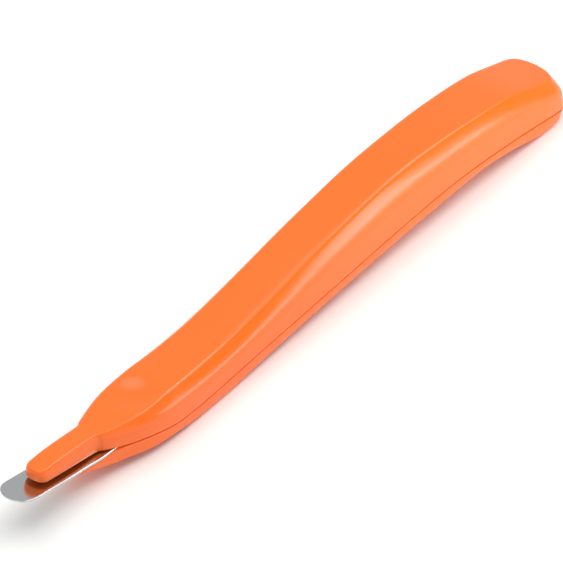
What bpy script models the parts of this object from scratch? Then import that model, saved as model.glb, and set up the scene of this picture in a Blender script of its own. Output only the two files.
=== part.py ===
"""Push-style staple remover: two moulded handle shells, a thin steel blade, a springy press tongue, a magnet.

The frame has +X from the blade's tip to the handle's tail and +Z up. The origin is the middle of the object's
length and width, at the height of the surface that it lies on. Sizes are in millimetres, counted from the
blade's tip, until to_object() moves a mesh to the origin and scales it to metres.
"""
import math

import bmesh
import bpy
from mathutils import Vector

MM = 0.001

# overall
LENGTH = 159.2              # blade tip to tail
GRIP_HALF_WIDTH = 7.1       # half the width over the seam, along the grip
CREST_HEIGHT = 17.7         # crown of the hump above the surface that the handle lies on
TAIL_ROUND = 4.5            # length of the tail that is rounded in plan
TAIL_SQUARENESS = 0.5       # 1 rounds the tail to a half circle, less leaves it squarer
TAIL_TURNS = (20, 38, 54, 70, 84)    # degrees round the tail, where its sections are
CROWN_FALL = 2.6            # the crown rounds down by this much towards a point at the end of the tail
CROWN_FALL_POWER = 1.6      # and more steeply the nearer it gets
END_EDGE = 0.4              # share of an edge's radius that is left at a rounded end
SECTION_STEP = 4.0          # between sections along the handle
FINE_STEP = 2.6             # between sections of the tongue, nose and blade

# mouldings
WALL = 1.8                  # wall of both shells
GAP = 0.3                   # clearance between pieces that touch
CROWN_EDGE = 1.2            # radius along the two edges of the crown
EDGE_SHARE = 0.8            # that radius is no more than this share of how far the side leans out
SMALLEST_FLAT = 0.3         # half-width that the crown keeps at the end of the tail
FLAT_INSET = 0.75           # the cavity's flat crown is narrower by this many walls
CROWN_CAMBER = 0.05         # rise of the crown between its edges
SIDE_SLOPE = 60             # degrees, where the crown's edge runs into the side
BELLY_EDGE = 1.1            # radius along the two edges of the underside
BELLY_EDGE_SHARE = 0.8      # that radius is no more than this share of the lower shell's height
DRAFT = 0.15                # the lower shell's sides lean in by this much
LIP_HEIGHT = 1.3            # locating lip of the lower shell, above the seam
LIP_START_WALLS = 4         # walls between the mouth and the start of the lip
POST_RADIUS = 1.4           # posts of the upper shell that press into the lower shell
SOCKET_WALL = 1.2           # wall of the sockets that take the posts
POST_BITE = 2.4             # how far a post runs below the seam

# press tongue
TONGUE_TIP = 6.9            # behind the blade's tip
TONGUE_ROOT = 23.1          # where the tongue meets the shell and flexes
TONGUE_HALF_WIDTH = 2.5
TONGUE_EDGE = 0.8           # radius along its two top edges
TONGUE_CLEARANCE = 0.8      # between the tongue's tip and the blade
TONGUE_LEVEL = 0.4          # share of the tongue over which it keeps that clearance
TONGUE_DRAFT = 0.1          # the tongue's sides lean in by this much
TONGUE_STEP = 0.1           # step up from the tongue's underside to the shell's rim
MOUTH_LENGTH = 4.6          # the shell's rim stays off the blade over this length behind the root
MOUTH_GAPE = 0.75           # and by this much at the root

# blade
BLADE_THICKNESS = 0.6
BLADE_TIP_RADIUS = 3.75
BLADE_TIP_SHARE = 0.45      # share of the thickness that the blade has at its tip
BLADE_THICKENING = 0.14     # and the share that it gains with each millimetre
FLARE_START = 6.0           # ahead of the tongue's root, the blade starts to widen
FLARE_END = 11.0            # behind the root, it is down to the tang's width
BLADE_TANG_END = 51.0       # end of the tang inside the handle
TANG_HALF_WIDTH = 3.9
TANG_MARGIN = 4.1           # from the tang's hole to its end

# magnet
MAGNET_RADIUS = 3.0
MAGNET_PLACE = 37.0         # behind the blade's tip, under the thumb dimple
MAGNET_FLOOR = 0.5          # floor pad between the shell's wall and the magnet
MAGNET_RING = 1.2           # height of the ring round the magnet, above its seat

# thumb dimple
DIMPLE_RADIUS = 3.6
DIMPLE_DEPTH = 0.9

# shares of the way from the tongue's root to the tail; the front post goes through the tang's hole
REAR_POSTS = (0.50, 0.86)

# making
OVERCUT = 2.0               # a cutter goes on this far past what it cuts
ROUND_SIDES = 32
POST_SIDES = 24
DIMPLE_SEGMENTS = (64, 48)
SHARP_ANGLE = 32            # degrees between faces that shade as one
NOSE_TURNS = (14, 30, 46, 62, 78)                # degrees round the nose, where its sections are
TONGUE_TURNS = (16, 32, 48, 64, 80)              # round the tongue's tip
BLADE_TURNS = (3, 16, 29, 42, 55, 68, 80)        # round the blade's tip

# side view and plan of the handle: place along it, crown, seam, underside, flat half-width of the crown and
# half-width at the seam. Heights are shares of CREST_HEIGHT, and widths of GRIP_HALF_WIDTH.
OUTLINE = (
    (0.000, 0.613, 0.335, 0.147, 0.300, 0.430),
    (0.018, 0.605, 0.330, 0.113, 0.385, 0.580),
    (0.041, 0.600, 0.315, 0.095, 0.505, 0.730),
    (0.065, 0.605, 0.290, 0.071, 0.585, 0.865),
    (0.095, 0.610, 0.250, 0.054, 0.613, 0.965),
    (0.132, 0.612, 0.198, 0.035, 0.620, 1.005),
    (0.176, 0.598, 0.187, 0.000, 0.592, 0.997),
    (0.235, 0.605, 0.199, 0.000, 0.583, 0.985),
    (0.290, 0.649, 0.220, 0.030, 0.580, 0.980),
    (0.345, 0.712, 0.241, 0.062, 0.577, 0.982),
    (0.492, 0.898, 0.285, 0.120, 0.563, 0.979),
    (0.639, 1.000, 0.340, 0.164, 0.570, 0.993),
    (0.730, 0.975, 0.366, 0.192, 0.612, 1.030),
    (0.785, 0.933, 0.350, 0.206, 0.641, 1.052),
    (0.881, 0.823, 0.278, 0.112, 0.662, 1.072),
    (0.936, 0.683, 0.217, 0.000, 0.669, 1.080),
    (0.976, 0.580, 0.170, 0.000, 0.676, 1.087),
    (1.000, 0.520, 0.145, 0.000, 0.683, 1.094),
)
CROWN, SEAM, BELLY, FLAT, RIM = range(1, 6)

# side below the crown's edge, from the seam up: shares of its height and width. It leans out for the upper
# third and then drops.
SIDE_PROFILE = ((1.0, 1.0), (0.75, 0.992), (0.5, 0.98), (0.38, 0.945), (0.3, 0.823), (0.2, 0.59),
                (0.1, 0.303))
ARC_SHARES = (0.0, 0.34, 0.67, 1.0)

# blade's upper face in side view: place behind the tip, and height above the seat that the shells hold it in
BLADE_RISE = ((0.0, 4.55), (3.0, 3.85), (6.0, 3.2), (10.0, 2.4), (14.0, 1.62), (18.0, 0.95), (23.0, 0.4),
              (30.0, 0.05))

# lower shell in front of where it is as wide as the upper one: place from the tongue's root, underside as a
# share of CREST_HEIGHT and half-width as a share of GRIP_HALF_WIDTH. The outline takes over at NOSE_END.
NOSE = ((-8.2, 0.294, 0.338), (-6.1, 0.266, 0.437), (-3.1, 0.215, 0.514), (0.0, 0.158, 0.577),
        (2.5, 0.119, 0.641))
NOSE_END = 5.6

# press tongue in side view: share of the way from its tip to its root, and height of its top above the root's
TONGUE_ARCH = ((0.0, 1.15), (0.253, 1.2), (0.53, 0.9), (1.0, 0.0))


def smooth(table, column, place):
    """Height or width at a place, on a monotone cubic through one column of a table."""
    xs = [row[0] for row in table]
    ys = [row[column] for row in table]
    if place <= xs[0]:
        return ys[0]
    if place >= xs[-1]:
        return ys[-1]
    steps = [(ys[i + 1] - ys[i]) / (xs[i + 1] - xs[i]) for i in range(len(xs) - 1)]
    slopes = [steps[0]]
    for before, after in zip(steps, steps[1:]):
        same_way = before * after > 0
        slopes.append(2 * before * after / (before + after) if same_way else 0.0)
    slopes.append(steps[-1])
    i = max(k for k in range(len(xs) - 1) if xs[k] <= place)
    span = xs[i + 1] - xs[i]
    t = (place - xs[i]) / span
    return ((1 + 2 * t) * (1 - t) ** 2 * ys[i] + t * (1 - t) ** 2 * span * slopes[i]
            + t * t * (3 - 2 * t) * ys[i + 1] + t * t * (t - 1) * span * slopes[i + 1])


def handle(column, x):
    """A value of the handle's outline, at x behind the blade's tip."""
    place = (x - TONGUE_ROOT) / (LENGTH - TONGUE_ROOT)
    scale = CREST_HEIGHT if column in (CROWN, SEAM, BELLY) else GRIP_HALF_WIDTH
    return scale * smooth(OUTLINE, column, place)


def blade_top(x):
    """The blade is seated on the seam, where the mouth ends."""
    return handle(SEAM, TONGUE_ROOT + MOUTH_LENGTH) + BLADE_THICKNESS / 2 + smooth(BLADE_RISE, 1, x)


def nose(column, x):
    """The lower shell's underside or half-width at x, from the tip of its nose to NOSE_END."""
    table = [(place + TONGUE_ROOT, low * CREST_HEIGHT, half * GRIP_HALF_WIDTH) for place, low, half in NOSE]
    end = TONGUE_ROOT + NOSE_END
    table.append((end, handle(BELLY, end), handle(RIM, end)))
    return smooth(table, column, x)


def blade_half_width(x):
    """Half-round tip, then flush with the nose, then the narrower tang between the shells."""
    if x < BLADE_TIP_RADIUS:
        return math.sqrt(BLADE_TIP_RADIUS ** 2 - (BLADE_TIP_RADIUS - x) ** 2)
    flush = nose(2, TONGUE_ROOT)
    along = ((BLADE_TIP_RADIUS, BLADE_TIP_RADIUS), (TONGUE_ROOT - FLARE_START, BLADE_TIP_RADIUS),
             (TONGUE_ROOT, flush), (TONGUE_ROOT + MOUTH_LENGTH, flush),
             (TONGUE_ROOT + FLARE_END, TANG_HALF_WIDTH))
    return smooth(along, 1, x)


def stations(start, end, step):
    count = max(2, round((end - start) / step))
    return [start + (end - start) * i / count for i in range(count + 1)]


def tail_stations(start, end):
    """Even stations along the handle, then closer ones round the tail, each with its share of the width."""
    straight = end - TAIL_ROUND
    rings = [(x, 1.0) for x in stations(start, straight, SECTION_STEP)]
    last = math.sin(math.radians(TAIL_TURNS[-1])) ** TAIL_SQUARENESS
    for degrees in TAIL_TURNS:
        angle = math.radians(degrees)
        out = math.sin(angle) ** TAIL_SQUARENESS / last
        rings.append((straight + TAIL_ROUND * out, math.cos(angle) ** TAIL_SQUARENESS))
    return rings


def over_the_crown(flat, rim, crown, seam, edge):
    """Half a cross-section, from the seam up the side and over the edge to the middle of the crown."""
    edge = min(edge, EDGE_SHARE * (rim - flat))
    slope = math.radians(SIDE_SLOPE)
    start = (flat + edge * math.sin(slope), crown - edge * (1 - math.cos(slope)))
    points = [(start[0] + out * (rim - start[0]), start[1] + down * (seam - start[1]))
              for down, out in SIDE_PROFILE]
    for share in ARC_SHARES:
        turn = slope * (1 - share)
        points.append((flat + edge * math.sin(turn), crown - edge * (1 - math.cos(turn))))
    points.append((flat / 2, crown + CROWN_CAMBER))
    return points


def under_the_belly(rim, seam, belly, edge):
    """Half a cross-section, from the seam down the side and round the lower edge to the flat underside."""
    edge = min(edge, BELLY_EDGE_SHARE * (seam - belly))
    points = [(rim, seam)]
    for share in (0.0, 0.25, 0.5, 0.75, 1.0):
        turn = math.radians(90) * share
        points.append((rim - DRAFT - edge * (1 - math.cos(turn)), belly + edge * (1 - math.sin(turn))))
    return points


def edge_towards_end(radius, width_share):
    """An edge gets tighter towards a rounded end, where the section is narrower."""
    return radius * (END_EDGE + (1 - END_EDGE) * width_share)


def ring(x, half):
    """A closed loop of points from the half section on the +Y side."""
    right = [(x, y, z) for y, z in half]
    left = [(x, -y, z) for y, z in reversed(half)]
    return right + left


def loft(rings):
    """A closed mesh through loops of the same number of points, with flat ends."""
    mesh = bmesh.new()
    loops = []
    for points in rings:
        verts = [mesh.verts.new(Vector(p)) for p in points]
        edges = [mesh.edges.new((verts[i], verts[(i + 1) % len(verts)])) for i in range(len(verts))]
        loops.append((verts, edges))
    for (_, first), (_, second) in zip(loops, loops[1:]):
        bmesh.ops.bridge_loops(mesh, edges=first + second)
    for verts, _ in (loops[0], loops[-1]):
        mesh.faces.new(verts)
    bmesh.ops.recalc_face_normals(mesh, faces=mesh.faces)
    return mesh


def cylinder(x, radius, low, high, sides=POST_SIDES):
    mesh = bmesh.new()
    bmesh.ops.create_cone(mesh, cap_ends=True, segments=sides, radius1=radius, radius2=radius,
                          depth=high - low)
    bmesh.ops.translate(mesh, verts=mesh.verts, vec=Vector((x, 0, (low + high) / 2)))
    return mesh


def to_object(name, mesh, hinge=None):
    """A mesh in millimetres behind the blade's tip becomes an object in metres about the origin."""
    place = Vector((LENGTH / 2, 0, 0))
    origin = Vector(hinge) - place if hinge else Vector((0, 0, 0))
    for vert in mesh.verts:
        vert.co = (vert.co - place - origin) * MM
    data = bpy.data.meshes.new(name)
    mesh.to_mesh(data)
    mesh.free()
    obj = bpy.data.objects.new(name, data)
    obj.location = origin * MM
    bpy.context.scene.collection.objects.link(obj)
    return obj


def combine(target, tool, how):
    """Cuts a tool out of an object, or joins it on."""
    tool.hide_render = True
    tool.display_type = "WIRE"
    boolean = target.modifiers.new(tool.name, "BOOLEAN")
    boolean.operation = how
    boolean.solver = "EXACT"
    boolean.object = tool


def material(name, color, roughness, metallic=0.0):
    made = bpy.data.materials.new(name)
    made.use_nodes = True
    shader = made.node_tree.nodes["Principled BSDF"]
    shader.inputs["Base Color"].default_value = (*color, 1.0)
    shader.inputs["Roughness"].default_value = roughness
    shader.inputs["Metallic"].default_value = metallic
    return made


def finish(obj, finish_material):
    obj.data.materials.append(finish_material)
    obj.data.shade_smooth()
    obj.data.set_sharp_from_angle(angle=math.radians(SHARP_ANGLE))


def post_places():
    """Where the posts are: one through the hole in the tang, the others along the handle."""
    front = BLADE_TANG_END - TANG_MARGIN
    return [front] + [TONGUE_ROOT + place * (LENGTH - TONGUE_ROOT) for place in REAR_POSTS]


def upper_rim(x):
    """Lower edge of the upper shell: on the seam, but lifted off the blade at the mouth."""
    lift = MOUTH_GAPE * max(0.0, 1 - (x - TONGUE_ROOT) / MOUTH_LENGTH)
    return handle(SEAM, x) + GAP / 2 + lift


def crown_fall(width_share):
    """How far the crown rounds down towards the very end of the tail."""
    return CROWN_FALL * (1 - width_share) ** CROWN_FALL_POWER


def upper_rings(start, end, inset, low):
    rings = []
    for x, share in tail_stations(start, end):
        crown = handle(CROWN, x) - inset - crown_fall(share)
        flat = max(SMALLEST_FLAT, (handle(FLAT, x) - FLAT_INSET * inset) * share)
        rim = (handle(RIM, x) - inset) * share
        rings.append(ring(x, over_the_crown(flat, rim, crown, low(x), edge_towards_end(CROWN_EDGE, share))))
    return rings


def lower_rings(start, end, inset, high, floor):
    rings = []
    for x, share in tail_stations(start, end):
        rim = (handle(RIM, x) - inset) * share
        rings.append(ring(x, under_the_belly(rim, high(x), handle(BELLY, x) + floor, BELLY_EDGE)))
    return rings


def blade_rings(grow):
    """The blade, or with grow the space that it needs."""
    tip = [BLADE_TIP_RADIUS * (1 - math.cos(math.radians(a))) for a in BLADE_TURNS]
    rings = []
    for x in tip + stations(BLADE_TIP_RADIUS, BLADE_TANG_END, FINE_STEP):
        half = blade_half_width(x) + grow
        top = blade_top(x) + grow
        thin = BLADE_THICKNESS * min(1.0, BLADE_TIP_SHARE + BLADE_THICKENING * x)
        low = blade_top(x) - thin - grow
        place = x + (grow if x >= BLADE_TANG_END else 0.0)
        rings.append([(place, -half, low), (place, half, low), (place, half, top), (place, -half, top)])
    return rings


def make_upper_shell(finish_material):
    start = TONGUE_ROOT + GAP / 2
    shell = to_object("upper_shell", loft(upper_rings(start, LENGTH, 0.0, upper_rim)))
    cavity_start = TONGUE_ROOT + MOUTH_LENGTH + WALL
    cavity = upper_rings(cavity_start, LENGTH - WALL, WALL, lambda x: handle(SEAM, x) - OVERCUT)
    combine(shell, to_object("upper_cavity", loft(cavity)), "DIFFERENCE")

    def under_rebate(x):
        return handle(SEAM, x) + LIP_HEIGHT + GAP

    rebate = []
    for x, share in tail_stations(lip_start() - GAP, LENGTH - WALL / 2 + GAP / 2):
        half = (handle(RIM, x) - WALL / 2 + GAP / 2) * share
        low, high = handle(SEAM, x) - OVERCUT, under_rebate(x)
        rebate.append([(x, -half, low), (x, half, low), (x, half, high), (x, -half, high)])
    combine(shell, to_object("upper_rebate", loft(rebate)), "DIFFERENCE")
    combine(shell, to_object("upper_blade_slot", loft(blade_rings(GAP))), "DIFFERENCE")
    dimple = bmesh.new()
    sphere = (DIMPLE_RADIUS ** 2 + DIMPLE_DEPTH ** 2) / (2 * DIMPLE_DEPTH)
    around, upward = DIMPLE_SEGMENTS
    bmesh.ops.create_uvsphere(dimple, u_segments=around, v_segments=upward, radius=sphere)
    middle = Vector((MAGNET_PLACE, 0, handle(CROWN, MAGNET_PLACE) - DIMPLE_DEPTH + sphere))
    bmesh.ops.translate(dimple, verts=dimple.verts, vec=middle)
    combine(shell, to_object("thumb_dimple", dimple), "DIFFERENCE")
    for number, x in enumerate(post_places(), 1):
        low = handle(SEAM, x) - post_bite(x)
        post = cylinder(x, POST_RADIUS, low, handle(CROWN, x) - WALL / 2)
        combine(shell, to_object(f"post_{number}", post), "UNION")
        shoulder_low = max(handle(SEAM, x) + LIP_HEIGHT, blade_top(x) + GAP)
        shoulder = cylinder(x, POST_RADIUS + SOCKET_WALL, shoulder_low, handle(CROWN, x) - WALL / 2)
        combine(shell, to_object(f"post_{number}_shoulder", shoulder), "UNION")
    finish(shell, finish_material)
    return shell


def post_bite(x):
    """How deep a post goes below the seam, short of the lower shell's floor."""
    return min(POST_BITE, handle(SEAM, x) - handle(BELLY, x) - WALL - GAP)


def lip_start():
    return TONGUE_ROOT + MOUTH_LENGTH + LIP_START_WALLS * WALL


def over_the_lip(x):
    return handle(SEAM, x) + LIP_HEIGHT + OVERCUT


def lower_rim(x):
    """Upper edge of the lower shell: on the seam, and half-way up the blade's edge where the blade is out."""
    on_seam = handle(SEAM, x) - GAP / 2
    return min(on_seam, blade_top(x) - BLADE_THICKNESS / 2) if x < BLADE_TANG_END else on_seam


def make_lower_shell(finish_material):
    nose_tip, nose_end = TONGUE_ROOT + NOSE[0][0], TONGUE_ROOT + NOSE_END
    nose_round = nose(2, nose_tip)
    plan = []
    for degrees in NOSE_TURNS:
        angle = math.radians(degrees)
        x = nose_tip + nose_round * (1 - math.cos(angle))
        plan.append((x, nose(2, x) * math.sin(angle)))
    plan += [(x, nose(2, x)) for x in stations(nose_tip + nose_round, nose_end, FINE_STEP)[:-1]]
    front = [ring(x, under_the_belly(half, lower_rim(x), nose(1, x), BELLY_EDGE)) for x, half in plan]
    shell = to_object("lower_shell", loft(front + lower_rings(nose_end, LENGTH, 0.0, lower_rim, 0.0)))

    lip = []
    for x, share in tail_stations(lip_start(), LENGTH - WALL / 2 - GAP / 2):
        half = (handle(RIM, x) - WALL / 2 - GAP / 2) * share
        low, high = handle(BELLY, x) + WALL / 2, handle(SEAM, x) + LIP_HEIGHT
        lip.append([(x, -half, low), (x, half, low), (x, half, high), (x, -half, high)])
    combine(shell, to_object("lower_lip", loft(lip)), "UNION")

    cavity_start = TONGUE_ROOT + MOUTH_LENGTH + WALL
    cavity = lower_rings(cavity_start, LENGTH - WALL, WALL, over_the_lip, WALL)
    combine(shell, to_object("lower_cavity", loft(cavity)), "DIFFERENCE")

    for number, x in enumerate(post_places(), 1):
        floor = handle(BELLY, x) + WALL / 2
        top = blade_top(x) - BLADE_THICKNESS / 2 if x < BLADE_TANG_END else handle(SEAM, x)
        socket = cylinder(x, POST_RADIUS + GAP + SOCKET_WALL, floor, top)
        combine(shell, to_object(f"socket_{number}", socket), "UNION")
        bore = cylinder(x, POST_RADIUS + GAP, handle(SEAM, x) - post_bite(x) - GAP, over_the_lip(x))
        combine(shell, to_object(f"socket_{number}_bore", bore), "DIFFERENCE")

    seat = magnet_floor() - GAP
    ring_top = seat + MAGNET_RING
    ring_low = handle(BELLY, MAGNET_PLACE) + WALL / 2
    wall = cylinder(MAGNET_PLACE, MAGNET_RADIUS + GAP + SOCKET_WALL, ring_low, ring_top)
    combine(shell, to_object("magnet_ring", wall), "UNION")
    pocket = cylinder(MAGNET_PLACE, MAGNET_RADIUS + GAP, seat, ring_top + OVERCUT, ROUND_SIDES)
    combine(shell, to_object("magnet_pocket", pocket), "DIFFERENCE")
    combine(shell, to_object("lower_blade_slot", loft(blade_rings(GAP))), "DIFFERENCE")
    finish(shell, finish_material)
    return shell


def magnet_floor():
    return handle(BELLY, MAGNET_PLACE) + WALL + MAGNET_FLOOR


def make_magnet(finish_material):
    high = blade_top(MAGNET_PLACE) - BLADE_THICKNESS - GAP
    magnet = to_object("magnet", cylinder(MAGNET_PLACE, MAGNET_RADIUS, magnet_floor(), high, ROUND_SIDES))
    finish(magnet, finish_material)
    return magnet


def make_blade(finish_material):
    blade = to_object("blade", loft(blade_rings(0.0)))
    x = post_places()[0]
    hole = cylinder(x, POST_RADIUS + GAP, blade_top(x) - BLADE_THICKNESS - OVERCUT, blade_top(x) + OVERCUT)
    combine(blade, to_object("tang_hole", hole), "DIFFERENCE")
    finish(blade, finish_material)
    return blade


def tongue_crown(x):
    place = (x - TONGUE_TIP) / (TONGUE_ROOT - TONGUE_TIP)
    return handle(CROWN, TONGUE_ROOT) + smooth(TONGUE_ARCH, 1, place)


def tongue_under(x):
    """Clear of the blade at the tip, and a small step below the shell's rim at the root."""
    middle = TONGUE_TIP + TONGUE_LEVEL * (TONGUE_ROOT - TONGUE_TIP)
    line = ((TONGUE_TIP, blade_top(TONGUE_TIP) + TONGUE_CLEARANCE),
            (middle, blade_top(middle) + TONGUE_CLEARANCE),
            (TONGUE_ROOT, upper_rim(TONGUE_ROOT) - TONGUE_STEP))
    return smooth(line, 1, x)


def make_press_tongue(finish_material):
    """The springy front of the upper moulding. Its object's origin is on the line about which it flexes."""
    end = TONGUE_ROOT - GAP / 2
    rounded = TONGUE_HALF_WIDTH
    tip = [TONGUE_TIP + rounded * (1 - math.cos(math.radians(a))) for a in TONGUE_TURNS]
    rings = []
    for x in tip + stations(TONGUE_TIP + rounded, end, FINE_STEP):
        half = TONGUE_HALF_WIDTH
        if x < TONGUE_TIP + rounded:
            half = math.sqrt(rounded ** 2 - (TONGUE_TIP + rounded - x) ** 2)
        share = half / TONGUE_HALF_WIDTH
        crown, under = tongue_crown(x), tongue_under(x)
        edge = edge_towards_end(TONGUE_EDGE, share)
        rings.append(ring(x, over_the_crown(half - edge - TONGUE_DRAFT, half, crown, under, edge)))
    tongue = to_object("press_tongue", loft(rings), hinge=(TONGUE_ROOT, 0, tongue_axis_height()))
    finish(tongue, finish_material)
    return tongue


def tongue_axis_height():
    """Half-way up the tongue's root."""
    return (handle(CROWN, TONGUE_ROOT) + upper_rim(TONGUE_ROOT)) / 2


def main():
    for obj in list(bpy.data.objects):
        bpy.data.objects.remove(obj, do_unlink=True)
    orange = material("orange_abs", (1.0, 0.2, 0.045), 0.25)
    steel = material("polished_stainless", (0.62, 0.64, 0.65), 0.15, 1.0)
    nickel = material("nickel_plated_magnet", (0.55, 0.54, 0.5), 0.3, 1.0)
    make_upper_shell(orange)
    make_lower_shell(orange)
    make_press_tongue(orange)
    make_blade(steel)
    make_magnet(nickel)


main()
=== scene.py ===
import math

import bmesh
import bpy
from mathutils import Matrix, Vector


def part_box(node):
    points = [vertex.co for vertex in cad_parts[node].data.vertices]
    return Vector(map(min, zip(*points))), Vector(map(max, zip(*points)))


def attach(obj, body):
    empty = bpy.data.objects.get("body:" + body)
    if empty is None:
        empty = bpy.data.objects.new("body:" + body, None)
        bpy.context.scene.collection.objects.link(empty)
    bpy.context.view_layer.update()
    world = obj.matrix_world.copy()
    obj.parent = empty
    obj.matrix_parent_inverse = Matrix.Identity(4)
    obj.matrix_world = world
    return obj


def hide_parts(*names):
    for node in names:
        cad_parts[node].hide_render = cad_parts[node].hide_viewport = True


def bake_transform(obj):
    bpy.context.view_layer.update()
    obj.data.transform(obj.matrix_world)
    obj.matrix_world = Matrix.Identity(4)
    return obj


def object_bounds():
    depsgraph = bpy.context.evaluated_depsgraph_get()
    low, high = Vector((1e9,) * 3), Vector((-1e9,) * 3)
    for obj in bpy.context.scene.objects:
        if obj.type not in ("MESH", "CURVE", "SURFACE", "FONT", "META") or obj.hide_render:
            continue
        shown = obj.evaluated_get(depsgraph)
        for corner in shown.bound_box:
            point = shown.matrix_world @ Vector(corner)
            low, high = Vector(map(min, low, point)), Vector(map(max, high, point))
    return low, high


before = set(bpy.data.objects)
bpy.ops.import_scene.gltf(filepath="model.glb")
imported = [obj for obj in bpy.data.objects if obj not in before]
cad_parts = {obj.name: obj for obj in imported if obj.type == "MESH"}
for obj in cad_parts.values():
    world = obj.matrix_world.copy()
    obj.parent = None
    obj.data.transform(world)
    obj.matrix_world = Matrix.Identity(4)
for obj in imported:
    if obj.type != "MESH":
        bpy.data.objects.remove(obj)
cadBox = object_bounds()

# Sizes are in mm, and places along the tool are counted from the blade's tip towards the tail.
mm = 0.001
tipX = cadBox[0][0]
toolLength = (cadBox[1][0] - cadBox[0][0]) / mm
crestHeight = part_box("upper_shell")[1].z / mm
rootPlace = ((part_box("upper_shell")[0].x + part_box("press_tongue")[1].x) / 2 - tipX) / mm   # tongue's root
print("frame loaded, tool length", round(toolLength, 1), "mm")

# what both mouldings share
handle = {
    "tailWidth": 1.0828,      # half-width at the tail's end, as a share of the grip's
    "tailRound": 4.5,         # length of the tail that is rounded in plan
    "tailTurns": (20, 36, 50, 63, 75, 84),    # degrees of the rings round the tail
    "tailSquareness": 0.5,    # 1 is a half-circle in plan, and less is squarer
    "neckEnd": 41,            # rings stand closer together in front of this place
    "gripStep": 3.8,          # between the rings behind it
    "mouthLength": 4.6,       # the upper rim stays off the blade over this length behind the tongue's root
    "seamHalfGap": 0.1,
    "lipStart": 35.0,         # behind the blade's mouth a lip stops one looking through the seam
    "lipRun": 3.0,            # it rises to its full height over this length
    "lipHeight": 0.7,
    "lipRail": 0.4,           # innermost rail at the seam, as a share of the rim's half-width
    "middleRail": 0.5,        # innermost rail on the crown and the underside, as a share of their half-width
    "edgeRoom": 0.8,          # an edge's radius takes at most this share of the room beside it
}

# side view and plan of the handle from the tongue's root to the tail: place, crown, seam and underside
# as shares of the crest height, then the crown's flat and the seam's half-width as shares of the grip's
outline = (
    (0.000, 0.613, 0.335, 0.147, 0.300, 0.430),
    (0.018, 0.605, 0.330, 0.113, 0.385, 0.580),
    (0.041, 0.600, 0.315, 0.095, 0.505, 0.730),
    (0.065, 0.605, 0.290, 0.071, 0.585, 0.865),
    (0.095, 0.610, 0.250, 0.054, 0.613, 0.965),
    (0.132, 0.612, 0.198, 0.035, 0.620, 1.005),
    (0.176, 0.598, 0.187, 0.000, 0.592, 0.997),
    (0.235, 0.605, 0.199, 0.000, 0.583, 0.985),
    (0.290, 0.649, 0.220, 0.030, 0.580, 0.980),
    (0.345, 0.712, 0.241, 0.062, 0.577, 0.982),
    (0.492, 0.898, 0.285, 0.120, 0.563, 0.979),
    (0.639, 1.000, 0.340, 0.164, 0.570, 0.993),
    (0.730, 0.975, 0.366, 0.192, 0.612, 1.030),
    (0.785, 0.933, 0.350, 0.206, 0.641, 1.052),
    (0.881, 0.823, 0.278, 0.112, 0.662, 1.072),
    (0.936, 0.683, 0.217, 0.000, 0.669, 1.080),
    (0.976, 0.580, 0.170, 0.000, 0.676, 1.087),
    (1.000, 0.520, 0.145, 0.000, 0.683, 1.094),
)
crown, seam, belly, flat, rim = range(1, 6)
gripHalf = cadBox[1][1] / mm / handle["tailWidth"]
tailBend = toolLength - handle["tailRound"]


def smoothed(rows, column, place):
    # monotone cubic through one column, so the curve never swings past a row
    xs = [row[0] for row in rows]
    ys = [row[column] for row in rows]
    if place <= xs[0]:
        return ys[0]
    if place >= xs[-1]:
        return ys[-1]
    steps = [(ys[i + 1] - ys[i]) / (xs[i + 1] - xs[i]) for i in range(len(xs) - 1)]
    slopes = [steps[0]]
    for before, after in zip(steps, steps[1:]):
        slopes.append(2 * before * after / (before + after) if before * after > 0 else 0.0)
    slopes.append(steps[-1])
    i = max(k for k in range(len(xs) - 1) if xs[k] <= place)
    span = xs[i + 1] - xs[i]
    t = (place - xs[i]) / span
    return ((1 + 2 * t) * (1 - t) ** 2 * ys[i] + t * (1 - t) ** 2 * span * slopes[i]
            + t * t * (3 - 2 * t) * ys[i + 1] + t * t * (t - 1) * span * slopes[i + 1])


def handleAt(column, x):
    scale = crestHeight if column in (crown, seam, belly) else gripHalf
    return scale * smoothed(outline, column, (x - rootPlace) / (toolLength - rootPlace))


def lipLift(x):
    return handle["lipHeight"] * min(1.0, max(0.0, (x - handle["lipStart"]) / handle["lipRun"]))


def evenly(start, end, step):
    count = max(2, round((end - start) / step))
    return [start + (end - start) * i / count for i in range(count + 1)]


def alongHandle(start, step):
    # places of a moulding's rings from start to where the tail turns
    neckEnd = handle["neckEnd"]
    return evenly(start, neckEnd, step) + evenly(neckEnd, tailBend, handle["gripStep"])[1:]


bladeShape = {
    "thickness": 0.6,
    "tipRadius": 3.75,
    "tipTurns": (84, 72, 60, 48, 36, 24, 12),    # degrees of the rings round the tip
    "tipThinness": 0.45,     # thickness at the very tip, as a share
    "thickening": 0.14,      # share gained with each mm behind it
    "flareStart": 6,         # in front of the tongue's root the strip widens to stand flush with the nose
    "tangStart": 11,         # behind the root it has narrowed to the tang between the mouldings
    "tangHalf": 3.9,
    "edge": 0.12,
    "edgeRoom": 0.35,        # the edge's radius takes at most this share of the thickness
    "step": 1.8,             # between rings
    # upper face in side view: place, and height above the seat between the mouldings
    "rise": ((0.0, 4.55), (3.0, 3.85), (6.0, 3.2), (10.0, 2.4), (14.0, 1.62), (18.0, 0.95), (23.0, 0.4),
             (30.0, 0.05)),
}
tangEnd = (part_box("blade")[1].x - tipX) / mm


def bladeTop(x):
    seat = handleAt(seam, rootPlace + handle["mouthLength"])
    return seat + bladeShape["thickness"] / 2 + smoothed(bladeShape["rise"], 1, x)


def deselectAll():
    if bpy.context.mode != "OBJECT":
        bpy.ops.object.mode_set(mode="OBJECT")
    bpy.ops.object.select_all(action="DESELECT")


def selectOnly(obj):
    deselectAll()
    obj.select_set(True)
    bpy.context.view_layer.objects.active = obj


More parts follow.
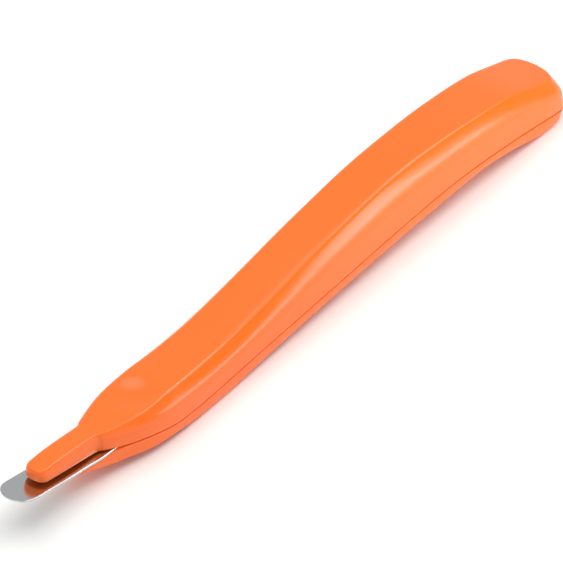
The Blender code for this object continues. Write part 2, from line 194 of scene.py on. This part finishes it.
def pick(obj, kind, wanted):
    # in edit mode, selects the verts, edges or faces that the test wants, and nothing else
    mesh = bmesh.from_edit_mesh(obj.data)
    mesh.select_mode = {kind}
    for group in (mesh.faces, mesh.edges, mesh.verts):
        for item in group:
            item.select_set(False)
    items = {"VERT": mesh.verts, "EDGE": mesh.edges, "FACE": mesh.faces}[kind]
    chosen = [item for item in items if wanted(item)]
    for item in chosen:
        item.select_set(True)
    mesh.select_flush_mode()
    bmesh.update_edit_mesh(obj.data)
    return chosen


def layRing(obj, ring):
    # moves each pair of rails on the selected end to its place in the ring, then selects the end again
    mesh = bmesh.from_edit_mesh(obj.data)
    mesh.verts.index_update()
    rail = mesh.verts.layers.int["rail"]
    end = {vert.index for vert in mesh.verts if vert.select}
    for number, (x, y, z) in enumerate(ring):
        pair = pick(obj, "VERT", lambda vert: vert.index in end and vert[rail] == number)
        now = max(pair, key=lambda vert: vert.co.y).co.copy()
        bpy.ops.transform.resize(value=(1, y * mm / now.y, 1), center_override=(0, 0, 0))
        bpy.ops.transform.translate(value=(tipX + x * mm - now.x, 0, z * mm - now.z))
    pick(obj, "FACE", lambda face: all(vert.index in end for vert in face.verts))


def drawBar(name, rings):
    # A strip the shape of the front end is extruded from ring to ring. A ring holds one side's rails
    # from the bottom up, and the other side mirrors it.
    rails = len(rings[0])
    deselectAll()
    bpy.ops.mesh.primitive_grid_add(x_subdivisions=rails - 1, y_subdivisions=1, size=2 * mm,
                                    location=(tipX, 0, 0), rotation=(0, math.pi / 2, 0))
    bar = bpy.context.object
    bar.name = name
    bar.data.name = name
    bpy.ops.object.transform_apply(location=True, rotation=True, scale=True)
    bpy.ops.object.mode_set(mode="EDIT")
    mesh = bmesh.from_edit_mesh(bar.data)
    rail = mesh.verts.layers.int.new("rail")
    for vert in mesh.verts:
        vert[rail] = round((vert.co.z / mm + 1) / 2 * (rails - 1))    # the strip runs from -1 to 1 mm
    bmesh.update_edit_mesh(bar.data)
    layRing(bar, rings[0])
    for ring in rings[1:]:
        bpy.ops.mesh.extrude_region_move()
        layRing(bar, ring)
    bpy.ops.object.mode_set(mode="OBJECT")
    bar.data.attributes.remove(bar.data.attributes["rail"])
    return bar


def smoothOut(obj, levels=2):
    selectOnly(obj)
    modifier = obj.modifiers.new("Subdivision", "SUBSURF")
    modifier.levels = modifier.render_levels = levels
    bpy.ops.object.modifier_apply(modifier=modifier.name)


def shadeSmooth(obj, angle=40):
    selectOnly(obj)
    bpy.ops.object.shade_smooth_by_angle(angle=math.radians(angle))


crownBand = 0.3     # a rail this close under the top belongs to the crown's flat
lipMargin = 0.1     # a rail higher above the top than this belongs to a lip


def wrapEnd(half, place, reach, degrees, heights, power,
            way=1, lean=1.0, tuck=0.0, underside=0.0, rounder=0.0):
    # Rails of one side's section turned round an end of the tool: each runs in to the middle line, and
    # what lies further in ends sooner. heights gives low and high at a place, which the rails keep between.
    outer = max(y for y, z in half)
    low0, high0 = heights(place)
    crownFlat = max(y for y, z in half if z > high0 - crownBand)
    last = math.sin(math.radians(max(degrees)))
    rings = []
    for turn in degrees:
        ring = []
        for y, z in half:
            squareness = power + rounder * (z - low0) / (high0 - low0)
            out = (math.sin(math.radians(turn)) / last) ** squareness
            onLip = z > high0 + lipMargin
            inset = outer - y if onLip else lean * min(outer - y, outer - crownFlat)
            x = place + way * (reach - inset) * out
            low, high = heights(x)
            share = (z - low0) / (high0 - low0)
            x -= (tuck + underside * (1 - share)) * out
            ring.append((x, y * math.cos(math.radians(turn)) ** squareness, low + share * (high - low)))
        rings.append(ring)
    return rings


# upper moulding: shell and press tongue in one
upperShape = {
    "crownEdge": 1.2,        # radius along the two edges of the crown
    "edgeShares": (1.0, 0.66, 0.33, 0.0),     # rails round that edge, from the side up
    "sideSlope": 60,         # degrees, where the crown's edge runs into the side
    # side below that: it leans out for the upper third and then drops, in shares of its height and width
    "side": ((0.1, 0.303), (0.2, 0.59), (0.3, 0.823), (0.38, 0.945), (0.5, 0.98), (0.75, 0.992), (0.97, 1.0)),
    "camber": 0.05,          # the crown's middle stands this much higher than its edges
    "rimRails": (0.8, 0.4, 0.1),    # across the rim's face, counted in from the side
    "lipInset": 1.1,
    "neckStep": 1.8,         # between the rings in front of the neck's end
    "mouthGape": 0.75,       # lift of the rim at the tongue's root
    "tailOver": 0.25,        # the crown reaches past the rounding of the tail
    "tailLean": 0.6,
    "tailUnderside": 0.5,    # the rim ends this much sooner
    "tailRounder": 0.3,      # the crown's end is rounder in plan than the rim's
    "tongueHalf": 2.5,
    "tongueFlat": 1.68,
    "tongueEdge": 0.8,
    "tongueClear": 0.8,      # over the blade
    "tongueLevel": 0.4,      # share of its length over which its underside follows the blade
    # rise of its crown over the root's, at shares of its length
    "tongueArch": ((0.0, 1.2), (0.253, 1.25), (0.53, 0.95), (1.0, 0.0)),
    "tongueStep": 2.6,
    "rootDrop": 0.1,         # its underside meets the root a little under the rim
    "tipRound": 2.2,
    "tipTurns": (82, 66, 50, 34, 17),
    "tipSquareness": 0.8,
    "shoulderRings": (-0.25, 0.2, 0.6, 2),    # from the tongue's root: the first is the tongue's last ring
}
tongueTip = (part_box("press_tongue")[0].x - tipX) / mm


def upperRim(x):
    lift = upperShape["mouthGape"] * max(0.0, 1 - (x - rootPlace) / handle["mouthLength"])
    return handleAt(seam, x) + handle["seamHalfGap"] + lift


def tongueCrown(x):
    share = (x - tongueTip) / (rootPlace - tongueTip)
    return handleAt(crown, rootPlace) + smoothed(upperShape["tongueArch"], 1, share)


def tongueUnder(x):
    middle = tongueTip + upperShape["tongueLevel"] * (rootPlace - tongueTip)
    clear = upperShape["tongueClear"]
    rows = ((tongueTip, bladeTop(tongueTip) + clear), (middle, bladeTop(middle) + clear),
            (rootPlace, upperRim(rootPlace) - upperShape["rootDrop"]))
    return smoothed(rows, 1, x)


def upperHalf(flatHalf, rimHalf, top, low, edge, lift=0.0):
    # one side of a cross-section: in under the rim, up the side and over the crown's edge to the middle
    edge = min(edge, handle["edgeRoom"] * (rimHalf - flatHalf))
    slope = math.radians(upperShape["sideSlope"])
    startHalf, startHigh = flatHalf + edge * math.sin(slope), top - edge * (1 - math.cos(slope))
    half = [(handle["lipRail"] * rimHalf, low + lift), (rimHalf - upperShape["lipInset"], low + lift)]
    half += [(rimHalf - inset, low) for inset in upperShape["rimRails"]]
    for down, out in reversed(upperShape["side"]):
        half.append((startHalf + out * (rimHalf - startHalf), startHigh + down * (low - startHigh)))
    for share in upperShape["edgeShares"]:
        turn = slope * share
        half.append((flatHalf + edge * math.sin(turn), top - edge * (1 - math.cos(turn))))
    half.append((handle["middleRail"] * flatHalf, top + upperShape["camber"]))
    return half


def makeUpperMoulding():
    shape = upperShape

    def tongueSection(x):
        return upperHalf(shape["tongueFlat"], shape["tongueHalf"], tongueCrown(x), tongueUnder(x),
                         shape["tongueEdge"])

    def tongueHeights(x):
        return tongueUnder(x), tongueCrown(x)

    def tailHeights(x):
        return upperRim(x), handleAt(crown, x)

    bend = tongueTip + shape["tipRound"]
    rings = wrapEnd(tongueSection(bend), bend, shape["tipRound"], shape["tipTurns"], tongueHeights,
                    shape["tipSquareness"], way=-1)
    front, *shoulder, neck = [rootPlace + place for place in shape["shoulderRings"]]
    for x in evenly(bend, front, shape["tongueStep"]):
        rings.append([(x, y, z) for y, z in tongueSection(x)])
    for x in shoulder + alongHandle(neck, shape["neckStep"]):
        half = upperHalf(handleAt(flat, x), handleAt(rim, x), handleAt(crown, x), upperRim(x),
                         shape["crownEdge"], lipLift(x))
        rings.append([(x, y, z) for y, z in half])
    rings += wrapEnd(half, tailBend, handle["tailRound"] + shape["tailOver"], handle["tailTurns"],
                     tailHeights, handle["tailSquareness"], lean=shape["tailLean"],
                     underside=shape["tailUnderside"], rounder=shape["tailRounder"])
    upper = drawBar("upper_moulding", rings)
    smoothOut(upper)
    return upper


upper = makeUpperMoulding()
print("upper moulding made,", len(upper.data.polygons), "faces")

dimple = {
    "place": 35.4,
    "radius": 5.4,
    "depth": 0.8,
    "finer": 1.1,            # the crown's faces are divided out to this share of the radius
    "pressed": 0.12,         # points within this share of it are pressed, and the rest follow
    "upwards": 0.8,          # least upward part of a normal on the crown
}


def pressDimple(obj):
    centre = Vector((tipX + dimple["place"] * mm, 0, handleAt(crown, dimple["place"]) * mm))
    reach = dimple["radius"] * mm

    def onCrown(face):
        near = (face.calc_center_median() - centre).length < dimple["finer"] * reach
        return near and face.normal.z > dimple["upwards"]

    def atCentre(vert):
        return (vert.co - centre).xy.length < dimple["pressed"] * reach and vert.normal.z > dimple["upwards"]

    selectOnly(obj)
    bpy.ops.object.mode_set(mode="EDIT")
    pick(obj, "FACE", onCrown)
    bpy.ops.mesh.subdivide(number_cuts=1, smoothness=0)
    pick(obj, "VERT", atCentre)
    bpy.ops.transform.translate(value=(0, 0, -dimple["depth"] * mm), use_proportional_edit=True,
                                use_proportional_connected=True, proportional_edit_falloff="SMOOTH",
                                proportional_size=reach)
    bpy.ops.object.mode_set(mode="OBJECT")


pressDimple(upper)
shadeSmooth(upper)
print("thumb dimple pressed into the crown")

lowerShape = {
    "bellyEdge": 1.1,        # radius along the two edges of the underside
    "edgeShares": (1.0, 0.75, 0.5, 0.25, 0.0),    # rails round that edge, from the bottom up
    "draft": 0.15,           # the sides lean in by this much under the seam
    # rails over the rim: in from the side, and down from the top
    "rimRails": ((0.02, 0.35), (0.0, 0.1), (0.1, 0.0), (0.4, 0.0), (0.95, 0.0)),
    "lipInset": 1.25,
    "neckStep": 2.0,         # between the rings in front of the neck's end
    "tailTuck": 0.4,         # the tail ends this much sooner than the upper one
    "tailUnderside": 2.0,    # and the underside this much more
    # nose: place from the tongue's root, then underside and half-width as shares
    "nose": ((-8.2, 0.294, 0.338), (-6.1, 0.266, 0.437), (-3.1, 0.215, 0.514), (0.0, 0.158, 0.577),
             (2.5, 0.119, 0.641)),
    "noseEnd": 5.6,          # where it has become the handle
    "noseStep": 1.9,
    "noseTurns": (80, 62, 44, 26),
    "noseSquareness": 1.0,
}
noseBelly, noseRim = 1, 2
noseBack = rootPlace + lowerShape["noseEnd"]


def noseAt(column, x):
    rows = [(place + rootPlace, low * crestHeight, half * gripHalf)
            for place, low, half in lowerShape["nose"]]
    rows.append((noseBack, handleAt(belly, noseBack), handleAt(rim, noseBack)))
    return smoothed(rows, column, x)


def lowerHalf(rimHalf, top, low, lift=0.0):
    # one side of a cross-section: out along the bottom, round its edge, up the side and in over the rim
    edge = min(lowerShape["bellyEdge"], handle["edgeRoom"] * (top - low))
    sideHalf = rimHalf - lowerShape["draft"]
    half = [(handle["middleRail"] * rimHalf, low)]
    for share in lowerShape["edgeShares"]:
        turn = math.radians(90) * share
        half.append((sideHalf - edge * (1 - math.cos(turn)), low + edge * (1 - math.sin(turn))))
    half += [(rimHalf - inset, top - down) for inset, down in lowerShape["rimRails"]]
    half += [(rimHalf - lowerShape["lipInset"], top + lift), (handle["lipRail"] * rimHalf, top + lift)]
    return half


def lowerTop(x):
    # on the seam, but half-way up the blade's edge at the nose
    onSeam = handleAt(seam, x) - handle["seamHalfGap"]
    return min(onSeam, bladeTop(x) - bladeShape["thickness"] / 2) if x < tangEnd else onSeam


def makeLowerMoulding():
    shape = lowerShape

    def noseSection(x):
        return lowerHalf(noseAt(noseRim, x), lowerTop(x), noseAt(noseBelly, x))

    def noseHeights(x):
        return noseAt(noseBelly, x), lowerTop(x)

    def tailHeights(x):
        return handleAt(belly, x), lowerTop(x)

    noseTip = rootPlace + shape["nose"][0][0]
    noseRound = noseAt(noseRim, noseTip)
    bend = noseTip + noseRound
    rings = wrapEnd(noseSection(bend), bend, noseRound, shape["noseTurns"], noseHeights,
                    shape["noseSquareness"], way=-1)
    for x in evenly(bend, noseBack, shape["noseStep"])[:-1]:
        rings.append([(x, y, z) for y, z in noseSection(x)])
    for x in alongHandle(noseBack, shape["neckStep"]):
        half = lowerHalf(handleAt(rim, x), lowerTop(x), handleAt(belly, x), lipLift(x))
        rings.append([(x, y, z) for y, z in half])
    rings += wrapEnd(half, tailBend, handle["tailRound"], handle["tailTurns"], tailHeights,
                     handle["tailSquareness"], tuck=shape["tailTuck"], underside=shape["tailUnderside"])
    lower = drawBar("lower_moulding", rings)
    smoothOut(lower)
    return lower


lower = makeLowerMoulding()
shadeSmooth(lower)
print("lower moulding made,", len(lower.data.polygons), "faces")


def bladeHalf(x):
    radius = bladeShape["tipRadius"]
    flush = noseAt(noseRim, rootPlace)
    rows = ((radius, radius), (rootPlace - bladeShape["flareStart"], radius), (rootPlace, flush),
            (rootPlace + handle["mouthLength"], flush),
            (rootPlace + bladeShape["tangStart"], bladeShape["tangHalf"]))
    return smoothed(rows, 1, x)


def bladeSection(half, top, thick):
    edge = min(bladeShape["edge"], bladeShape["edgeRoom"] * thick)
    low = top - thick
    flatEnd, nearly = half - 2.5 * edge, 0.1 * edge    # the faces are flat up to here, then fall a little
    return [(0.5 * half, low), (flatEnd, low), (half - edge, low + nearly), (half, low + edge),
            (half, top - edge), (half - edge, top - nearly), (flatEnd, top), (0.5 * half, top)]


def makeBlade():
    shape = bladeShape
    radius = shape["tipRadius"]
    rings = []
    for turn in shape["tipTurns"]:
        x = radius * (1 - math.sin(math.radians(turn)))
        thick = shape["thickness"] * min(1.0, shape["tipThinness"] + shape["thickening"] * x)
        section = bladeSection(radius, bladeTop(x), thick)
        rings.append([(x, y * math.cos(math.radians(turn)), z) for y, z in section])
    for x in evenly(radius, tangEnd, shape["step"]):
        section = bladeSection(bladeHalf(x), bladeTop(x), shape["thickness"])
        rings.append([(x, y, z) for y, z in section])
    blade = drawBar("steel_blade", rings)
    smoothOut(blade)
    return blade


blade = makeBlade()
shadeSmooth(blade)
print("blade made,", len(blade.data.polygons), "faces")


def linear(hexColour):
    channels = [int(hexColour[i:i + 2], 16) / 255 for i in (1, 3, 5)]
    return tuple(c / 12.92 if c <= 0.04045 else ((c + 0.055) / 1.055) ** 2.4 for c in channels) + (1.0,)


def addNode(tree, kind, settings=None, links=None):
    node = tree.nodes.new(kind)
    for name, value in (settings or {}).items():
        if name in node.inputs:
            node.inputs[name].default_value = value
        else:
            setattr(node, name, value)
    for name, source in (links or {}).items():
        tree.links.new(source, node.inputs[name])
    return node


def newMaterial(name):
    made = bpy.data.materials.new(name)
    made.use_nodes = True
    return made, made.node_tree.nodes["Principled BSDF"]


def perMetre(sizeMm):
    # a Noise texture's scale for features of this size
    return 1 / (sizeMm * mm)


absFinish = {
    "colours": ("#FF6F20", "#FF7122"),
    "colourSize": 35,        # mm between its slight changes
    "roughness": (0.16, 0.26),
    "hazeSize": 3,
    "waveSize": 14,
    "waveHeight": 0.02,
    "waveStrength": 0.25,
    "ior": 1.47,
}


def glossyMouldedAbs():
    # Orange ABS from a polished mould: an even colour with a clear gloss.
    made, shader = newMaterial("glossy_moulded_abs")
    tree = made.node_tree
    place = addNode(tree, "ShaderNodeTexCoord").outputs["Object"]
    # slow waves left by shrinkage over the walls keep long reflections from being ruler-straight
    waves = addNode(tree, "ShaderNodeTexNoise", {"Scale": perMetre(absFinish["waveSize"]), "Detail": 1.0},
                    {"Vector": place})
    flow = addNode(tree, "ShaderNodeTexNoise", {"Scale": perMetre(absFinish["colourSize"]), "Detail": 2.0},
                   {"Vector": place})
    tint = addNode(tree, "ShaderNodeMix", {"data_type": "RGBA"}, {"Factor": flow.outputs["Fac"]})
    tint.inputs[6].default_value, tint.inputs[7].default_value = map(linear, absFinish["colours"])
    # handling haze: fine patches a little less polished than the rest
    haze = addNode(tree, "ShaderNodeTexNoise", {"Scale": perMetre(absFinish["hazeSize"]), "Detail": 4.0},
                   {"Vector": place})
    least, most = absFinish["roughness"]
    rough = addNode(tree, "ShaderNodeMapRange", {"To Min": least, "To Max": most},
                    {"Value": haze.outputs["Fac"]})
    bump = addNode(tree, "ShaderNodeBump",
                   {"Strength": absFinish["waveStrength"], "Distance": absFinish["waveHeight"] * mm},
                   {"Height": waves.outputs["Fac"]})
    tree.links.new(tint.outputs[2], shader.inputs["Base Color"])
    tree.links.new(rough.outputs["Result"], shader.inputs["Roughness"])
    tree.links.new(bump.outputs["Normal"], shader.inputs["Normal"])
    shader.inputs["IOR"].default_value = absFinish["ior"]
    return made


steelFinish = {
    "colour": "#C9CCCD",
    "roughness": (0.10, 0.22),
    "lineWidth": 0.25,       # real polishing lines are a few hundredths, drawn coarser so that they show
    "lineStretch": (0.04, 1.0, 1.0),
    "lineDepth": 0.004,
    "lineStrength": 0.15,
}


def polishedStainless():
    # Cold-rolled stainless strip, polished along its length: bright, with faint lengthways lines.
    made, shader = newMaterial("polished_stainless")
    tree = made.node_tree
    place = addNode(tree, "ShaderNodeTexCoord").outputs["Object"]
    stretched = addNode(tree, "ShaderNodeMapping", {"Scale": steelFinish["lineStretch"]}, {"Vector": place})
    lines = addNode(tree, "ShaderNodeTexNoise", {"Scale": perMetre(steelFinish["lineWidth"]), "Detail": 3.0},
                    {"Vector": stretched.outputs["Vector"]})
    least, most = steelFinish["roughness"]
    rough = addNode(tree, "ShaderNodeMapRange", {"To Min": least, "To Max": most},
                    {"Value": lines.outputs["Fac"]})
    bump = addNode(tree, "ShaderNodeBump",
                   {"Strength": steelFinish["lineStrength"], "Distance": steelFinish["lineDepth"] * mm},
                   {"Height": lines.outputs["Fac"]})
    shader.inputs["Base Color"].default_value = linear(steelFinish["colour"])
    shader.inputs["Metallic"].default_value = 1.0
    tree.links.new(rough.outputs["Result"], shader.inputs["Roughness"])
    tree.links.new(bump.outputs["Normal"], shader.inputs["Normal"])
    return made


nickelFinish = {
    "colour": "#C4C0B6",
    "roughness": (0.18, 0.3),
    "grainSize": 0.3,
}


def nickelPlating():
    # Bright nickel over a sintered magnet: a warm grey shine with a slightly pebbled surface.
    made, shader = newMaterial("nickel_plating")
    tree = made.node_tree
    place = addNode(tree, "ShaderNodeTexCoord").outputs["Object"]
    grain = addNode(tree, "ShaderNodeTexNoise", {"Scale": perMetre(nickelFinish["grainSize"]), "Detail": 2.0},
                    {"Vector": place})
    least, most = nickelFinish["roughness"]
    rough = addNode(tree, "ShaderNodeMapRange", {"To Min": least, "To Max": most},
                    {"Value": grain.outputs["Fac"]})
    shader.inputs["Base Color"].default_value = linear(nickelFinish["colour"])
    shader.inputs["Metallic"].default_value = 1.0
    tree.links.new(rough.outputs["Result"], shader.inputs["Roughness"])
    return made


orange = glossyMouldedAbs()
steel = polishedStainless()
nickel = nickelPlating()
for piece, finish in ((upper, orange), (lower, orange), (blade, steel), (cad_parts["magnet"], nickel)):
    piece.data.materials.clear()
    piece.data.materials.append(finish)
print("materials set")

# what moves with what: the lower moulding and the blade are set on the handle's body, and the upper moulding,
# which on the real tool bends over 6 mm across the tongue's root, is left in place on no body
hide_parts("upper_shell", "press_tongue")
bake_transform(upper)
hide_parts("lower_shell")
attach(lower, "handle")
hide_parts("blade")
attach(blade, "handle")
print("pieces set on their bodies")

# places and sizes in metres
studio = {
    "floorSize": 3.0,
    "floorDrop": 0.00005,    # keeps the floor off the faces that the tool lies on
    "floorColour": "#F4F4F2",
    "floorRoughness": 0.9,
    "worldStrength": 0.62,
    "darkSide": (0.554, -0.72, 0.33),
    "darkStrength": 0.06,
    "darkFade": (0.77, 0.96),    # from plain white to full dark, as cosines to that side
    # lamps: name, place, aim, size and watts
    "lamps": (
        ("overhead_softbox", (-0.1, 0.1, 0.9), (0, 0, 0), (0.9, 0.7), 4.2),
        ("key_softbox", (0.53, -0.31, 0.72), (0, 0, 0), (0.5, 0.5), 3.2),
        # low strips beside the tool draw the long highlight along its near side
        ("low_strip", (0.1, -0.1, 0.012), (0.1, 0, 0.012), (0.08, 0.012), 0.024),
        ("front_strip", (0.045, -0.1, 0.022), (0.045, 0, 0.022), (0.08, 0.02), 0.026),
    ),
}


def addFloor():
    deselectAll()
    bpy.ops.mesh.primitive_plane_add(size=studio["floorSize"], location=(0, 0, -studio["floorDrop"]))
    floor = bpy.context.object
    floor.name = "floor"
    made, shader = newMaterial("pale_paper")
    shader.inputs["Base Color"].default_value = linear(studio["floorColour"])
    shader.inputs["Roughness"].default_value = studio["floorRoughness"]
    floor.data.materials.append(made)


def addSoftbox(name, place, aim, size, watts):
    deselectAll()
    bpy.ops.object.light_add(type="AREA", location=place)
    lamp = bpy.context.object
    lamp.name = name
    lamp.data.shape = "RECTANGLE"
    lamp.data.size, lamp.data.size_y = size
    lamp.data.energy = watts
    lamp.rotation_euler = (Vector(aim) - Vector(place)).to_track_quat("-Z", "Y").to_euler()


def addWorld():
    # white all round, but with one dark side, so that the gloss has something to show
    world = bpy.data.worlds.new("white_studio")
    world.use_nodes = True
    tree = world.node_tree
    direction = addNode(tree, "ShaderNodeTexCoord").outputs["Generated"]
    towards = addNode(tree, "ShaderNodeVectorMath", {"operation": "DOT_PRODUCT"})
    tree.links.new(direction, towards.inputs[0])
    towards.inputs[1].default_value = Vector(studio["darkSide"]).normalized()
    fadeStart, fadeEnd = studio["darkFade"]
    fade = addNode(tree, "ShaderNodeMapRange",
                   {"interpolation_type": "SMOOTHSTEP", "From Min": fadeStart, "From Max": fadeEnd,
                    "To Min": studio["worldStrength"], "To Max": studio["darkStrength"]},
                   {"Value": towards.outputs["Value"]})
    background = tree.nodes["Background"]
    background.inputs["Color"].default_value = (1, 1, 1, 1)
    tree.links.new(fade.outputs["Result"], background.inputs["Strength"])
    bpy.context.scene.world = world


view = {
    "azimuth": -48.193,      # degrees
    "elevation": 42.0,
    "roll": -2.598,
    "distance": 1200.0,      # mm from the aim
    "aim": (0.0, 0.0, 10.0),
    "lens": 399.4,
    "shift": (-0.0029, -0.0164),
    "clipStart": 0.01,       # metres
}


def addCamera():
    turn, lift, roll = (math.radians(view[key]) for key in ("azimuth", "elevation", "roll"))
    level = Vector((math.cos(turn), math.sin(turn), 0))
    back = Vector((math.sin(turn) * math.cos(lift), -math.cos(turn) * math.cos(lift), math.sin(lift)))
    upright = back.cross(level)
    right = math.cos(roll) * level + math.sin(roll) * upright
    up = math.cos(roll) * upright - math.sin(roll) * level
    place = (Vector(view["aim"]) + view["distance"] * back) * mm
    bpy.ops.object.camera_add()
    camera = bpy.context.object
    camera.matrix_world = Matrix.Translation(place) @ Matrix((right, up, back)).transposed().to_4x4()
    camera.data.lens = view["lens"]
    camera.data.shift_x, camera.data.shift_y = view["shift"]
    camera.data.clip_start = view["clipStart"]
    bpy.context.scene.camera = camera


addFloor()
for lamp in studio["lamps"]:
    addSoftbox(*lamp)
addWorld()
addCamera()
bpy.context.scene.view_settings.view_transform = "Standard"
print("studio set")
